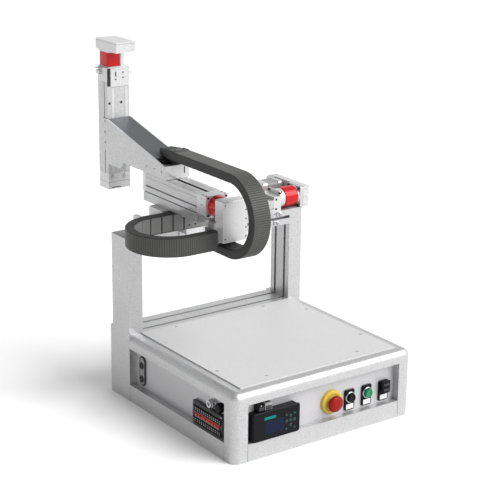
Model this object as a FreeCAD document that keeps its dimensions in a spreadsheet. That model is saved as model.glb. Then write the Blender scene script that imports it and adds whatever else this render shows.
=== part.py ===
"""Three-axis Cartesian robot on a desktop control cabinet.

A profile cabinet carries two posts and a cross-beam. The x module lies on the beam, its
carriage carries the y module over the table, and a gusset on the y carriage holds the
z module upright behind the beam. Two energy chains lead the cables to the moving modules.

Lengths are in millimetres. Positions are measured from the cabinet's front left bottom
corner: x to the right, y to the back and z up. The document's origin is the centre of the
cabinet's footprint.
"""

import FreeCAD, Part
import Sketcher
import os
import re

DIMENSIONS = {
    # cabinet
    "base_width": 540, "base_depth": 560, "base_height": 180, "rail": 40, "rail_round": 20,
    "low_rail": 45, "high_rail": 33, "recess": 20, "panel_thickness": 2.5, "deck_depth": 100,
    "strip_depth": 20, "strip_round": 12, "plate_side": 35, "plate_front": 25, "plate_thickness": 3,
    "floor_thickness": 3, "floor_lift": 6, "screw_radius": 4, "screw_rise": 1, "screw_inset": 14,
    "screw_near": 95, "screw_far": 132, "base_hole": 2.5, "base_hole_depth": 15, "base_hole_inset": 60,
    "controller_width": 260, "controller_depth": 200, "controller_height": 70,
    # profile slots
    "slot_mouth": 8, "slot_lip": 4.5, "slot_chamber": 18, "slot_depth": 12,
    # portal
    "post_top": 431, "post_depth": 80,
    # what the linear modules share
    "trough_width": 36, "trough_floor": 6, "groove": 3, "spindle_radius": 6, "spindle_gap": 0.08,
    "running_gap": 0.6, "nut_width": 30, "nut_inset": 16, "neck_height": 6,
    "x_neck_width": 30, "y_neck_width": 8, "z_neck_width": 30, "housing_wall": 5, "housing_floor": 3,
    "hub_radius": 17, "hub_inset": 5, "pulley_radius": 11, "pulley_width": 8, "pulley_gap": 0.3,
    "belt_thickness": 1.6, "shaft_radius": 4, "shaft_gap": 0.08, "shaft_depth": 8, "box_wall": 4,
    "box_lid": 3, "rail_height": 23, "spacer_width": 57,
    # x module
    "x_start": 50, "x_centre": 484.5, "x_bottom": 431, "x_width": 65, "x_height": 35, "x_axis": 28.5,
    "x_free_block": 12, "x_profile": 380, "x_drive_block": 23, "x_block_rise": 8, "x_housing": 67,
    "x_housing_radius": 27.5, "x_flange": 8, "x_flange_size": 56, "x_box": 20, "x_box_left": 28.5,
    "x_box_width": 169, "x_box_low": 27.5, "x_box_height": 56, "x_box_round": 27, "x_cavity": 16,
    "x_motor_span": 84, "x_motor_start": -66, "x_motor_length": 66, "x_motor_size": 52, "x_pulley_start": 7,
    "x_carriage_start": 46, "x_carriage_length": 100, "x_carriage_rise": 24.4, "x_carriage_width": 62,
    # y module
    "y_start": 570, "y_centre": 145.5, "y_bottom": 517, "y_width": 65, "y_height": 48, "y_axis": 21.6,
    "y_free_block": 12, "y_profile": 235, "y_drive_block": 38, "y_block_rise": 0, "y_housing": 32,
    "y_housing_radius": 27.5, "y_flange": 4, "y_flange_size": 56, "y_box": 32, "y_box_left": 27.5,
    "y_box_width": 70, "y_box_low": 72.6, "y_box_height": 107, "y_box_round": 10, "y_cavity": 16,
    "y_motor_span": 57.1, "y_motor_start": -47, "y_motor_length": 47, "y_motor_size": 53, "y_pulley_start": 12,
    "y_carriage_start": 0, "y_carriage_length": 108, "y_carriage_rise": 35.4, "y_carriage_width": 66,
    # z module
    "z_start": 478, "z_centre": 145.5, "z_bottom": 741, "z_width": 66, "z_height": 47, "z_axis": 24,
    "z_free_block": 42, "z_profile": 245, "z_drive_block": 37, "z_block_rise": 0, "z_housing": 40,
    "z_housing_radius": 27, "z_flange": 5, "z_flange_size": 56, "z_box": 27, "z_box_left": 32.5,
    "z_box_width": 58, "z_box_low": 70, "z_box_height": 103, "z_box_round": 2, "z_cavity": 23.5,
    "z_motor_span": 44, "z_motor_start": 4, "z_motor_length": 10, "z_motor_size": 44, "z_pulley_start": 15.5,
    "z_carriage_start": 140, "z_carriage_length": 90, "z_carriage_rise": 8, "z_carriage_width": 50,
    "tool_width": 42, "tool_height": 60, "tool_thickness": 6, "tool_spacing_x": 26, "tool_spacing_z": 40,
    "tool_hole": 2.75,
    # gusset
    "sheet_thickness": 3, "gusset_front": 462, "gusset_back": 765, "gusset_low": 568, "gusset_nose": 601,
    "gusset_top": 669, "gusset_notch": 585, "gusset_notch_front": 738, "gusset_lobe": 550,
    "gusset_lobe_front": 673, "gusset_lobe_slope": 660, "cover_front": 508, "cover_drop": 11.2,
    # energy chains
    "chain_height": 24, "chain_outer": 105, "x_chain_width": 47, "x_chain_bottom": 442,
    "x_chain_centre_x": 44.6, "x_chain_centre_y": 345, "x_chain_anchor": 209, "x_chain_tow": 117,
    "y_chain_width": 50, "y_chain_left": 128, "y_chain_centre_y": 213, "y_chain_centre_z": 533,
    "y_chain_anchor": 293, "y_chain_tow": 475, "shelf_front": 250, "shelf_depth": 44, "tab_thickness": 2,
    "tab_height": 32, "bracket_left": 150, "bracket_width": 50, "bracket_drop": 36,
    # operating panel
    "screen_left": 51, "screen_width": 138, "screen_front": 2, "screen_low": 46, "screen_height": 72,
    "stop_x": 301, "stop_z": 84, "collar_radius": 31, "collar_height": 8, "stop_radius": 21,
    "stop_thickness": 12, "stop_front": 8, "stop_neck": 11, "stop_length": 32, "button_gap": 0.3,
    "button_x": 357, "button_pitch": 54, "button_z": 84, "button_neck": 8, "button_length": 16,
    "button_radius": 11, "button_thickness": 6, "button_front": 5, "holder_width": 30, "holder_low": 52,
    "holder_height": 50, "holder_depth": 5, "tall_width": 26, "tall_height": 32, "tall_drop": 12,
    "terminal_front": 75, "terminal_length": 128, "terminal_low": 46, "terminal_height": 50,
    "terminal_depth": 14, "inlet_front": 414, "inlet_length": 36, "inlet_low": 47, "inlet_height": 79,
    "inlet_depth": 8, "inlet_hole": 8, "inlet_spacing": 36,
}

document = FreeCAD.newDocument("cartesian_robot")
sheet = document.addObject("Spreadsheet::Sheet", "Dims")
for row, (alias, size) in enumerate(DIMENSIONS.items(), start=1):
    sheet.set(f"A{row}", alias)
    sheet.set(f"B{row}", str(size))
    sheet.setAlias(f"B{row}", alias)
document.recompute()

NODES = []
AXES = {"x": FreeCAD.Vector(1, 0, 0), "y": FreeCAD.Vector(0, 1, 0), "z": FreeCAD.Vector(0, 0, 1)}

# A module's own frame: x from the free end to the drive, y across it and z towards the carriage.
MODULES = {
    "x": (FreeCAD.Rotation(), ("x_start", "x_centre", "x_bottom")),
    "y": (FreeCAD.Rotation(AXES["z"], -90), ("y_centre", "y_start", "y_bottom")),
    "z": (FreeCAD.Rotation(FreeCAD.Vector(1, 1, 1), 240), ("z_centre", "z_bottom", "z_start")),
}
MOTOR_SIDE = {"x": "behind", "y": "below", "z": "below"}


def sized(expression):
    """Point each dimension's name in an expression at the sheet."""
    def named(match):
        word = match.group()
        return "Dims." + word if word in DIMENSIONS else word
    return re.sub(r"[a-z_]+", named, str(expression))


def value(expression):
    """Work out an expression of the sheet's dimensions."""
    text = re.sub(r"[a-z_]+", lambda match: str(DIMENSIONS[match.group()]), str(expression))
    return float(FreeCAD.Units.Quantity(text).Value)


def bind(thing, **expressions):
    for name, expression in expressions.items():
        thing.setExpression(name, sized(expression))
    return thing


def place(thing, x, y, z):
    """Bind a position that is measured from the cabinet's corner."""
    thing.setExpression("Placement.Base.x", sized(f"({x}) - base_width / 2"))
    thing.setExpression("Placement.Base.y", sized(f"({y}) - base_depth / 2"))
    thing.setExpression("Placement.Base.z", sized(z))
    return thing


def locate(thing, x, y, z):
    """Bind a position in a module's own frame."""
    for side, expression in zip("xyz", (x, y, z)):
        thing.setExpression(f"Placement.Base.{side}", sized(expression))
    return thing


def block(length, width, height, where, put=place):
    box = document.addObject("Part::Box", "Block")
    bind(box, Length=length, Width=width, Height=height)
    return put(box, *where)


def rod(radius, length, where, axis="z", put=place):
    cylinder = document.addObject("Part::Cylinder", "Rod")
    bind(cylinder, Radius=radius, Height=length)
    cylinder.Placement = FreeCAD.Placement(FreeCAD.Vector(), FreeCAD.Rotation(AXES["z"], AXES[axis]))
    return put(cylinder, *where)


def joined(*things):
    if len(things) == 1:
        return things[0]
    fuse = document.addObject("Part::MultiFuse", "Joined")
    fuse.Shapes = list(things)
    fuse.Refine = True
    return fuse


def apart(*things):
    """Hold alike pieces as separate solids of one node."""
    group = document.addObject("Part::Compound", "Apart")
    group.Links = list(things)
    return group


def without(base, *tools):
    cut = document.addObject("Part::Cut", "Without")
    cut.Base = base
    cut.Tool = joined(*tools)
    return cut


def rounded(base, radius, chosen):
    """Fillet the edges that chosen(the edge's middle, its direction) picks."""
    document.recompute()
    fillet = document.addObject("Part::Fillet", "Rounded")
    fillet.Base = base
    size = value(radius)
    picked = []
    for number, edge in enumerate(base.Shape.Edges, start=1):
        middle = edge.valueAt((edge.FirstParameter + edge.LastParameter) / 2)
        if chosen(middle, edge.tangentAt(edge.FirstParameter)):
            picked.append((number, size, size))
    fillet.Edges = picked
    return fillet


def node(label, thing):
    """Name a finished sub-part."""
    thing.Label = label
    NODES.append(thing)
    return thing


def outline_body(label, points, thickness, x):
    """A body padded towards +x from a closed outline of (y, z) points."""
    body = document.addObject("PartDesign::Body", label + "_body")
    sketch = body.newObject("Sketcher::SketchObject", label + "_outline")
    plane = next(item for item in body.Origin.OriginFeatures if item.Role == "YZ_Plane")
    sketch.AttachmentSupport = (plane, [""])
    sketch.MapMode = "FlatFace"
    corners = [FreeCAD.Vector(value(across), value(up), 0) for across, up in points]
    for start, end in zip(corners, corners[1:] + corners[:1]):
        sketch.addGeometry(Part.LineSegment(start, end), False)
    for number, corner in enumerate(points):
        sketch.addConstraint(Sketcher.Constraint("Coincident", number, 2, (number + 1) % len(points), 1))
        for kind, expression in zip(("DistanceX", "DistanceY"), corner):
            index = sketch.addConstraint(Sketcher.Constraint(kind, -1, 1, number, 1, value(expression)))
            name = f"{kind}_{number}"
            sketch.renameConstraint(index, name)
            sketch.setExpression("Constraints." + name, sized(expression))
    pad = body.newObject("PartDesign::Pad", label + "_pad")
    pad.Profile = sketch
    bind(pad, Length=thickness)
    return place(body, x, "0", "0")


def slot(length, start, across, surface, face, run):
    """The two cuts of one T-slot: its mouth, and the wider chamber behind the lips.

    run is the axis that the slot follows, and face the signed axis that it opens to."""
    sign, normal = face
    side = next(item for item in "xyz" if item not in (normal, run))
    cuts = []
    for width, near, far in (("slot_mouth", "-1", "slot_lip + 1"), ("slot_chamber", "slot_lip", "slot_depth")):
        size = {run: length, side: width, normal: f"({far}) - ({near})"}
        corner = {run: start, side: f"({across}) - {width} / 2"}
        corner[normal] = f"({surface}) - ({far})" if sign == "+" else f"({surface}) + ({near})"
        cuts.append(block(size["x"], size["y"], size["z"], (corner["x"], corner["y"], corner["z"])))
    return cuts


# Cabinet

RUN = "base_width - 2 * rail"
RAIL_TOP = "base_height - plate_thickness"
DECK_FRONT = "base_depth - deck_depth"
BOTH_SIDES = ("0", "base_width - rail")


def outer_edge(x):
    """The x of the cabinet's outer side at the piece that starts at x."""
    return value("base_width / 2") * (-1 if x == "0" else 1)


def corner_columns():
    columns = []
    front, top = value("-base_depth / 2"), value(RAIL_TOP)
    for x in BOTH_SIDES:
        side = outer_edge(x)

        def outer(middle, along):
            at_side, at_front = abs(middle.x - side) < 1, abs(middle.y - front) < 1
            return (at_side and at_front) or (middle.z > top - 1 and (at_side or at_front))
        columns.append(rounded(block("rail", "rail", RAIL_TOP, (x, "0", "0")), "rail_round", outer))
    return columns


def rear_strips():
    """The rounded strips behind the posts' feet."""
    strips = []
    back = value("base_depth / 2")
    for x in BOTH_SIDES:
        side = outer_edge(x)
        strip = block("rail", "strip_depth", "base_height", (x, "base_depth - strip_depth", "0"))
        strips.append(rounded(strip, "strip_round", lambda middle, along: (
            abs(along.z) > 0.9 and abs(middle.x - side) < 1 and abs(middle.y - back) < 1)))
    return strips


def cabinet_corners():
    return apart(*corner_columns(), *rear_strips())


def base_holes(y):
    """Blind holes in the cabinet's underside, for bolting it down."""
    return [rod("base_hole", "base_hole_depth + 1", (x, y, "-1")) for x in ("rail / 2", "base_width - rail / 2")]


def bottom_rails():
    left, right = [block("rail", f"{DECK_FRONT} - rail", "low_rail", (x, "rail", "0")) for x in BOTH_SIDES]
    left_hole, right_hole = base_holes("base_hole_inset")
    ends = [block(RUN, "rail", "low_rail", ("rail", y, "0")) for y in ("0", "base_depth - rail")]
    return [without(left, left_hole), without(right, right_hole), *ends]


def top_rails():
    low, top = f"{RAIL_TOP} - high_rail", value(RAIL_TOP)
    front = value("-base_depth / 2")
    rails = []
    for x in BOTH_SIDES:
        side = outer_edge(x)
        rail = block("rail", f"{DECK_FRONT} - rail", "high_rail", (x, "rail", low))
        rails.append(rounded(rail, "rail_round", lambda middle, along: (
            abs(middle.x - side) < 1 and middle.z > top - 1 and abs(along.y) > 0.9)))
    rail = block(RUN, "rail", "high_rail", ("rail", "0", low))
    rails.append(rounded(rail, "rail_round", lambda middle, along: (
        abs(middle.y - front) < 1 and middle.z > top - 1 and abs(along.x) > 0.9)))
    return rails


def cabinet_rails():
    return apart(*bottom_rails(), *top_rails())


def deck_profile():
    """The wide profile behind the table, with two slots in its top."""
    deck = block(RUN, "deck_depth", "rail", ("rail", DECK_FRONT, "base_height - rail"))
    back, top = value("base_depth / 2"), value("base_height")
    deck = rounded(deck, "strip_round", lambda middle, along: (
        abs(middle.y - back) < 1 and middle.z > top - 1 and abs(along.x) > 0.9))
    cuts = []
    for y in ("base_depth - 2 * rail", "base_depth - rail"):
        cuts += slot(RUN, "rail", y, "base_height", "+z", "x")
    return without(deck, *cuts)


def table_plate():
    return block("base_width - 2 * plate_side", f"{DECK_FRONT} - plate_front", "plate_thickness",
                 ("plate_side", "plate_front", RAIL_TOP))


def table_screws():
    """Two screw heads along each edge of the table plate."""
    across = ("screw_far", "base_width - screw_far")
    back = ("screw_near + plate_front + 20", f"{DECK_FRONT} - screw_near")
    places = [(x, y) for x in across for y in ("plate_front + screw_inset * 2", f"{DECK_FRONT} - screw_inset")]
    places += [(x, y) for y in back for x in ("plate_side + screw_inset", "base_width - plate_side - screw_inset")]
    return apart(*[rod("screw_radius", "screw_rise", (x, y, "base_height")) for x, y in places])


def button_places():
    return [f"button_x + {number} * button_pitch" for number in range(3)]


def front_panel():
    panel = block(RUN, "panel_thickness", f"{RAIL_TOP} - high_rail - low_rail", ("rail", "recess", "low_rail"))
    holes = [rod("stop_neck + button_gap", "panel_thickness + 2", ("stop_x", "recess - 1", "stop_z"), "y")]
    holes += [rod("button_neck + button_gap", "panel_thickness + 2", (x, "recess - 1", "button_z"), "y")
              for x in button_places()]
    return without(panel, *holes)


def shell_panels():
    """The side panels, the rear panel and the floor."""
    tall, deep = f"{RAIL_TOP} - high_rail - low_rail", f"{DECK_FRONT} - rail"
    sides = [block("panel_thickness", deep, tall, (x, "rail", "low_rail"))
             for x in ("recess", "base_width - recess - panel_thickness")]
    rear = block(RUN, "panel_thickness", "base_height - rail - low_rail",
                 ("rail", "base_depth - recess - panel_thickness", "low_rail"))
    floor = block(RUN, "base_depth - 2 * rail", "floor_thickness", ("rail", "rail", "floor_lift"))
    return apart(*sides, rear, floor)


def controller():
    return block("controller_width", "controller_depth", "controller_height",
                 ("base_width / 2 - controller_width / 2", "base_depth / 2 - controller_depth / 2",
                  "floor_lift + floor_thickness"))


# Portal

def posts():
    made = []
    holes = base_holes("base_depth - base_hole_inset")
    for x, face, inner, hole in zip(BOTH_SIDES, ("+x", "-x"), ("rail", "base_width - rail"), holes):
        post = block("rail", "post_depth", "post_top", (x, DECK_FRONT, "0"))
        cuts = []
        for y in ("base_depth - 2 * rail", "base_depth - rail"):
            cuts += slot("post_top - base_height - rail", "base_height", y, inner, face, "z")
        made.append(without(post, hole, *cuts))
    return apart(*made)


def cross_beam():
    beam = block(RUN, "post_depth", "rail", ("rail", DECK_FRONT, "post_top - rail"))
    middle = "post_top - rail / 2"
    cuts = slot(RUN, "rail", middle, DECK_FRONT, "-y", "x")
    cuts += slot(RUN, "rail", middle, f"{DECK_FRONT} + post_depth", "+y", "x")
    for y in ("base_depth - 2 * rail", "base_depth - rail"):
        cuts += slot(RUN, "rail", y, "post_top - rail", "-z", "x")
    return without(beam, *cuts)


# Linear modules

def own(length, width, height, where):
    return block(length, width, height, where, put=locate)


def turned(radius, length, where):
    return rod(radius, length, where, axis="x", put=locate)


def module_node(axis, piece, thing):
    """Name a piece of a module, and set it from the module's frame into the robot."""
    turn, where = MODULES[axis]
    whole = document.addObject("Part::Compound", "Set")
    whole.Links = [thing]
    whole.Placement = FreeCAD.Placement(FreeCAD.Vector(), turn)
    return node(f"{axis}_{piece}", place(whole, *where))


def housing_start(a):
    return f"({a}_free_block + {a}_profile + {a}_drive_block)"


def box_start(a):
    return f"({housing_start(a)} + {a}_housing + {a}_flange)"


def motor_place(a):
    """The y and z of the motor's axis in the module's frame."""
    if MOTOR_SIDE[a] == "behind":
        return f"{a}_motor_span", f"{a}_axis"
    return "0", f"({a}_axis - {a}_motor_span)"


def profile(a):
    """An open trough with a groove along each side."""
    whole = own(f"{a}_profile", f"{a}_width", f"{a}_height", (f"{a}_free_block", f"-{a}_width / 2", "0"))
    start, run = f"{a}_free_block - 1", f"{a}_profile + 2"
    trough = own(run, "trough_width", f"{a}_height", (start, "-trough_width / 2", "trough_floor"))
    grooves = [own(run, "groove + 1", "groove", (start, side, f"{a}_height * 0.3"))
               for side in (f"-{a}_width / 2 - 1", f"{a}_width / 2 - groove")]
    return without(whole, trough, *grooves)


def end_blocks(a):
    blocks = []
    for start, length in (("0", f"{a}_free_block"), (f"{a}_free_block + {a}_profile", f"{a}_drive_block")):
        end = own(length, f"{a}_width", f"{a}_height + {a}_block_rise", (start, f"-{a}_width / 2", "0"))
        bore = turned("spindle_radius + spindle_gap", f"{length} + 2", (f"{start} - 1", "0", f"{a}_axis"))
        blocks.append(without(end, bore))
    return apart(*blocks)


def carriage(a):
    """The plate over the profile, and the nut that hangs from its neck round the spindle."""
    start, length = f"{a}_carriage_start", f"{a}_carriage_length"
    plate = own(length, f"{a}_carriage_width", f"{a}_carriage_rise",
                (start, f"-{a}_carriage_width / 2", f"{a}_height + running_gap"))
    nut = own(f"{length} - 2 * nut_inset", "nut_width", f"{a}_height - trough_floor - 1 - neck_height",
              (f"{start} + nut_inset", "-nut_width / 2", "trough_floor + 1"))
    neck = own(f"{length} - 2 * nut_inset", f"{a}_neck_width", "neck_height + running_gap",
               (f"{start} + nut_inset", f"-{a}_neck_width / 2", f"{a}_height - neck_height"))
    bore = turned("spindle_radius + spindle_gap", f"{length} + 2", (f"{start} - 1", "0", f"{a}_axis"))
    return without(joined(plate, nut, neck), bore)


def spindle(a):
    """The screw with its coupling hub and its pulley."""
    axis, pulley = f"{a}_axis", f"{box_start(a)} + {a}_pulley_start"
    screw = turned("spindle_radius", f"{pulley} + pulley_width - 2", ("2", "0", axis))
    hub = turned("hub_radius", f"{a}_housing - 2 * hub_inset", (f"{housing_start(a)} + hub_inset", "0", axis))
    return joined(screw, hub, turned("pulley_radius", "pulley_width", (pulley, "0", axis)))


def coupling_housing(a):
    """A round shell round the coupling, with a square flange at the drive."""
    start, axis = housing_start(a), f"{a}_axis"
    shell = turned(f"{a}_housing_radius", f"{a}_housing", (start, "0", axis))
    flange = own(f"{a}_flange", f"{a}_flange_size", f"{a}_flange_size",
                 (f"{start} + {a}_housing", f"-{a}_flange_size / 2", f"{axis} - {a}_flange_size / 2"))
    inside = turned(f"{a}_housing_radius - housing_wall", f"{a}_housing + {a}_flange",
                    (f"{start} + housing_floor", "0", axis))
    mouth = turned("spindle_radius + spindle_gap", "housing_floor + 2", (f"{start} - 1", "0", axis))
    return without(joined(shell, flange), inside, mouth)


def stadium(a, radius, start, length):
    """A flat-sided loop of one radius about the spindle's and the motor's axes."""
    across, up = motor_place(a)
    ends = [turned(radius, length, (start, *centre)) for centre in (("0", f"{a}_axis"), (across, up))]
    if MOTOR_SIDE[a] == "behind":
        middle = own(length, f"{a}_motor_span", f"2 * ({radius})", (start, "0", f"{a}_axis - ({radius})"))
    else:
        middle = own(length, f"2 * ({radius})", f"{a}_motor_span", (start, f"-({radius})", up))
    return joined(*ends, middle)


def belt(a):
    start = f"{box_start(a)} + {a}_pulley_start"
    inner = "pulley_radius + pulley_gap"
    return without(stadium(a, f"{inner} + belt_thickness", start, "pulley_width"),
                   stadium(a, inner, f"{start} - 1", "pulley_width + 2"))


def drive_housing(a):
    """The flat box round the belt, open only to the shafts."""
    start = box_start(a)
    box = own(f"{a}_box", f"{a}_box_width", f"{a}_box_height",
              (start, f"-{a}_box_left", f"{a}_axis - {a}_box_low"))
    far = value(f"{a}_box_width - {a}_box_left")
    low = value(f"{a}_axis - {a}_box_low")
    if MOTOR_SIDE[a] == "behind":
        box = rounded(box, f"{a}_box_round", lambda middle, along: abs(along.x) > 0.9 and middle.y > far - 1)
    else:
        box = rounded(box, f"{a}_box_round", lambda middle, along: abs(along.x) > 0.9 and middle.z < low + 1)
    cavity = stadium(a, f"{a}_cavity", f"{start} + box_wall", f"{a}_box - box_wall - box_lid")
    mouths = [turned("spindle_radius + spindle_gap", "box_wall + 2", (f"{start} - 1", "0", f"{a}_axis"))]
    if not inside_box(a):
        mouths.append(turned("shaft_radius + shaft_gap", "box_wall + 2", (f"{start} - 1", *motor_place(a))))
    return without(box, cavity, *mouths)


def inside_box(a):
    """Whether the motor is a flat round one inside the drive housing."""
    return value(f"{a}_motor_start") > 0


def motor(a):
    across, up = motor_place(a)
    start = f"{box_start(a)} + {a}_motor_start"
    if inside_box(a):
        case = turned(f"{a}_motor_size / 2", f"{a}_motor_length", (start, across, up))
    else:
        case = own(f"{a}_motor_length", f"{a}_motor_size", f"{a}_motor_size",
                   (start, f"{across} - {a}_motor_size / 2", f"{up} - {a}_motor_size / 2"))
    bore = turned("shaft_radius + shaft_gap", "shaft_depth + 2",
                  (f"{start} + {a}_motor_length - shaft_depth - 1", across, up))
    return without(case, bore)


def motor_pulley(a):
    shaft_start = f"{box_start(a)} + {a}_motor_start + {a}_motor_length - shaft_depth"
    shaft_length = f"{a}_pulley_start + pulley_width - {a}_motor_start - {a}_motor_length + shaft_depth"
    shaft = turned("shaft_radius", shaft_length, (shaft_start, *motor_place(a)))
    pulley = turned("pulley_radius", "pulley_width", (f"{box_start(a)} + {a}_pulley_start", *motor_place(a)))
    return joined(shaft, pulley)


def y_support_rail():
    """The rail under the y profile, with the narrow spacer between them."""
    start = "y_start - y_free_block - y_profile"
    low = "y_bottom - rail_height - sheet_thickness"
    rail = block("y_width - 2", "y_profile + y_free_block", "rail_height", ("y_centre - y_width / 2 + 1", start, low))
    spacer = block("spacer_width", "y_profile + y_free_block", "sheet_thickness",
                   ("y_centre - spacer_width / 2", start, "y_bottom - sheet_thickness"))
    return joined(rail, spacer)


def tool_plate():
    """A plate on the z carriage with a rectangle of four holes for a tool."""
    back = "z_bottom + z_height + running_gap + z_carriage_rise"
    middle = "z_start + z_carriage_start + z_carriage_length / 2"
    plate = block("tool_width", "tool_thickness", "tool_height",
                  ("z_centre - tool_width / 2", back, f"{middle} - tool_height / 2"))
    holes = [rod("tool_hole", "tool_thickness + 2",
                 (f"z_centre + ({x}) * tool_spacing_x / 2", f"{back} - 1", f"{middle} + ({z}) * tool_spacing_z / 2"),
                 "y") for x in (-1, 1) for z in (-1, 1)]
    return without(plate, *holes)


# Gusset

GUSSET_LEFT = "y_centre - y_carriage_width / 2"


def gusset_plates():
    points = [("gusset_front", "gusset_low"), ("gusset_front", "gusset_nose"), ("z_bottom", "gusset_top"),
              ("gusset_back", "gusset_top"), ("gusset_back", "gusset_notch"),
              ("gusset_notch_front", "gusset_notch"), ("gusset_notch_front", "gusset_lobe"),
              ("gusset_lobe_front", "gusset_lobe"), ("gusset_lobe_slope", "gusset_low")]
    sides = (("left", f"{GUSSET_LEFT} - sheet_thickness"), ("right", f"{GUSSET_LEFT} + y_carriage_width"))
    return apart(*[outline_body("gusset_" + side, points, "sheet_thickness", x) for side, x in sides])


def gusset_cover():
    """The inclined sheet between the gusset's plates."""
    front = "gusset_nose + cover_drop"
    points = [("cover_front", front), ("z_bottom", "gusset_top"), ("z_bottom", "gusset_top - sheet_thickness"),
              ("cover_front", f"{front} - sheet_thickness")]
    return outline_body("gusset_cover", points, "y_carriage_width", GUSSET_LEFT)


def gusset_floor():
    return block("y_carriage_width", "gusset_notch_front - y_start", "sheet_thickness",
                 (GUSSET_LEFT, "y_start", "gusset_low"))


# Energy chains

def half_ring(width, where, turn):
    """Half of a flat ring, from its middle bend line round to the other run."""
    rings = []
    for radius, extra in (("chain_outer", "0"), ("chain_outer - chain_height", "1")):
        ring = document.addObject("Part::Cylinder", "Rod")
        bind(ring, Radius=radius, Height=f"{width} + 2 * {extra}")
        ring.Angle = 180
        rings.append(locate(ring, "0", "0", f"-{extra}"))
    whole = document.addObject("Part::Compound", "Set")
    whole.Links = [without(*rings)]
    whole.Placement = FreeCAD.Placement(FreeCAD.Vector(), turn)
    return place(whole, *where)


def x_chain():
    """A chain lying on its side, with its bend to the left of the portal."""
    x, y, low = "x_chain_centre_x", "x_chain_centre_y", "x_chain_bottom"
    node("x_chain_fixed_run", block(f"x_chain_anchor - {x}", "chain_height", "x_chain_width",
                                    (x, f"{y} + chain_outer - chain_height", low)))
    node("x_chain_bend", half_ring("x_chain_width", (x, y, low), FreeCAD.Rotation(AXES["z"], 90)))
    node("x_chain_moving_run", block(f"x_chain_tow - {x}", "chain_height", "x_chain_width",
                                     (x, f"{y} - chain_outer", low)))


def y_chain():
    """A chain in an upright plane, with its bend round the front of the y drive."""
    left, y, z = "y_chain_left", "y_chain_centre_y", "y_chain_centre_z"
    node("y_chain_fixed_run", block("y_chain_width", f"y_chain_anchor - {y}", "chain_height",
                                    (left, y, f"{z} - chain_outer")))
    upright = FreeCAD.Rotation(AXES["y"], 90).multiply(FreeCAD.Rotation(AXES["z"], 180))
    node("y_chain_bend", half_ring("y_chain_width", (left, y, z), upright))
    node("y_chain_moving_run", block("y_chain_width", f"y_chain_tow - {y}", "chain_height",
                                     (left, y, f"{z} + chain_outer - chain_height")))


def x_chain_bracket():
    """The angle that holds the x chain's fixed end in front of the beam."""
    back, low = DECK_FRONT, "post_top - sheet_thickness"
    front = "x_chain_centre_y + chain_outer - chain_height"
    leg = block("bracket_width", "sheet_thickness", "bracket_drop - sheet_thickness",
                ("bracket_left", f"{back} - sheet_thickness", "post_top - bracket_drop"))
    shelf = block("bracket_width", f"{back} - ({front})", "sheet_thickness", ("bracket_left", front, low))
    riser = block("bracket_width", "chain_height", "x_chain_bottom - post_top", ("bracket_left", front, "post_top"))
    return joined(leg, shelf, riser)


def y_chain_bracket():
    """The shelf under the y motor that holds the ends of both chains."""
    top = "y_chain_centre_z - chain_outer + chain_height"
    right = "y_chain_left + y_chain_width"
    shelf = block(f"{right} - x_chain_tow", "shelf_depth", "sheet_thickness", ("x_chain_tow", "shelf_front", top))
    tab = block("tab_thickness", "shelf_depth", "tab_height",
                ("x_chain_tow", "shelf_front", f"{top} + sheet_thickness"))
    return joined(shelf, tab)


def y_chain_stand():
    """The block on the y carriage that drives the y chain's end."""
    return block("y_chain_width - 6", "y_chain_tow - gusset_front - 1",
                 "y_chain_centre_z + chain_outer - chain_height - gusset_nose",
                 ("y_chain_left + 3", "gusset_front + 1", "gusset_nose"))


# Operating panel

def screen_unit():
    return block("screen_width", "recess + screen_front", "screen_height", ("screen_left", "-screen_front", "screen_low"))


def stop_collar():
    ring = rod("collar_radius", "collar_height", ("stop_x", "recess - collar_height", "stop_z"), "y")
    return without(ring, rod("stop_neck + button_gap", "collar_height + 2",
                             ("stop_x", "recess - collar_height - 1", "stop_z"), "y"))


def stop_button():
    head = rod("stop_radius", "stop_thickness", ("stop_x", "-stop_front", "stop_z"), "y")
    return joined(head, rod("stop_neck", "stop_length", ("stop_x", "-stop_front + 1", "stop_z"), "y"))


def button_holders():
    holders = []
    for x in button_places():
        holder = block("holder_width", "holder_depth", "holder_height",
                       (f"{x} - holder_width / 2", "recess - holder_depth", "holder_low"))
        hole = rod("button_neck + button_gap", "holder_depth + 2", (x, "recess - holder_depth - 1", "button_z"), "y")
        holders.append(without(holder, hole))
    return apart(*holders)


def push_button(number):
    """A round cap, or a tall one on the last place, with its neck through the panel."""
    x = button_places()[number]
    neck = rod("button_neck", "button_length + button_thickness", (x, "button_front", "button_z"), "y")
    if number < 2:
        return joined(rod("button_radius", "button_thickness", (x, "button_front", "button_z"), "y"), neck)
    return joined(block("tall_width", "button_thickness", "tall_height",
                        (f"{x} - tall_width / 2", "button_front", "button_z - tall_drop")), neck)


def side_terminals():
    return block("terminal_depth", "terminal_length", "terminal_height",
                 ("recess - terminal_depth", "terminal_front", "terminal_low"))


def inlet_plate():
    plate = block("inlet_depth", "inlet_length", "inlet_height", ("recess - inlet_depth", "inlet_front", "inlet_low"))
    middle = "inlet_low + inlet_height / 2"
    holes = [rod("inlet_hole", "inlet_depth + 1", ("recess - inlet_depth - 1", "inlet_front + inlet_length / 2",
                                                   f"{middle} + ({side}) * inlet_spacing / 2"), "x")
             for side in (-1, 1)]
    return without(plate, *holes)


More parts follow.
